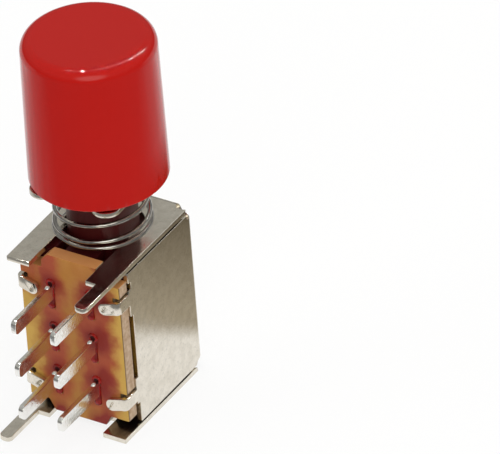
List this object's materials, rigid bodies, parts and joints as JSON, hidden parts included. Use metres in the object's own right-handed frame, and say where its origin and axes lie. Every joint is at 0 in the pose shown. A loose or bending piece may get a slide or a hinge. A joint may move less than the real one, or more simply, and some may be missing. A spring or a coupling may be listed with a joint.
{
  "type": "self-locking push button switch",
  "caption": "Latching push-button switch: folded steel case, phenolic board with flat solder terminals, return spring and round red cap on a sliding plunger.",
  "frame": {"origin": "where the plunger's axis meets the outer face of the case's rear plate", "axes": "+Z along the plunger out of the button, -Y the way the terminals point, +X to the side of the case that has the front leg"},
  "size_m": [0.01, 0.0149, 0.0299],
  "materials": {
    "case_steel": "satin plated",
    "phenolic_board": "satin, punched edges matte",
    "terminal_plating": "bright silver plating",
    "plunger_plastic": "moulded, semi-gloss",
    "cap_plastic": "moulded, gloss",
    "retainer_steel": "bright plated",
    "spring_wire": "bright drawn wire",
    "contact_bronze": "rolled strip"
  },
  "bodies": {
    "case": {"frame": "case_steel", "terminal_board": "phenolic_board", "terminal_a_rear": "terminal_plating", "terminal_a_common": "terminal_plating", "terminal_a_front": "terminal_plating", "terminal_b_rear": "terminal_plating", "terminal_b_common": "terminal_plating", "terminal_b_front": "terminal_plating", "return_spring": "spring_wire", "latch_spring": "contact_bronze"},
    "slider": {"plunger": "plunger_plastic", "spring_retainer": "retainer_steel", "contact_clip_a": "contact_bronze", "contact_clip_b": "contact_bronze", "button_cap": "cap_plastic"},
    "latch": {"latch_pin": "spring_wire"}
  },
  "joints": [
    {"name": "plunger_slide", "type": "slide", "parent": "case", "child": "slider", "axis": [0, 0, -1], "range_m": [0, 0.002], "stiffness_N_per_m": 400, "springref_m": -0.003, "deforming": ["return_spring"]},
    {"name": "latch_swing", "type": "hinge", "parent": "case", "child": "latch", "pos_m": [-0.0027, 0, 0.0137], "axis": [1, 0, 0], "range_deg": [-6.05, 0]}
  ],
  "couplings": [
    {"joint": "latch_swing", "follows": "plunger_slide", "rad_per_m": -52.3}
  ]
}
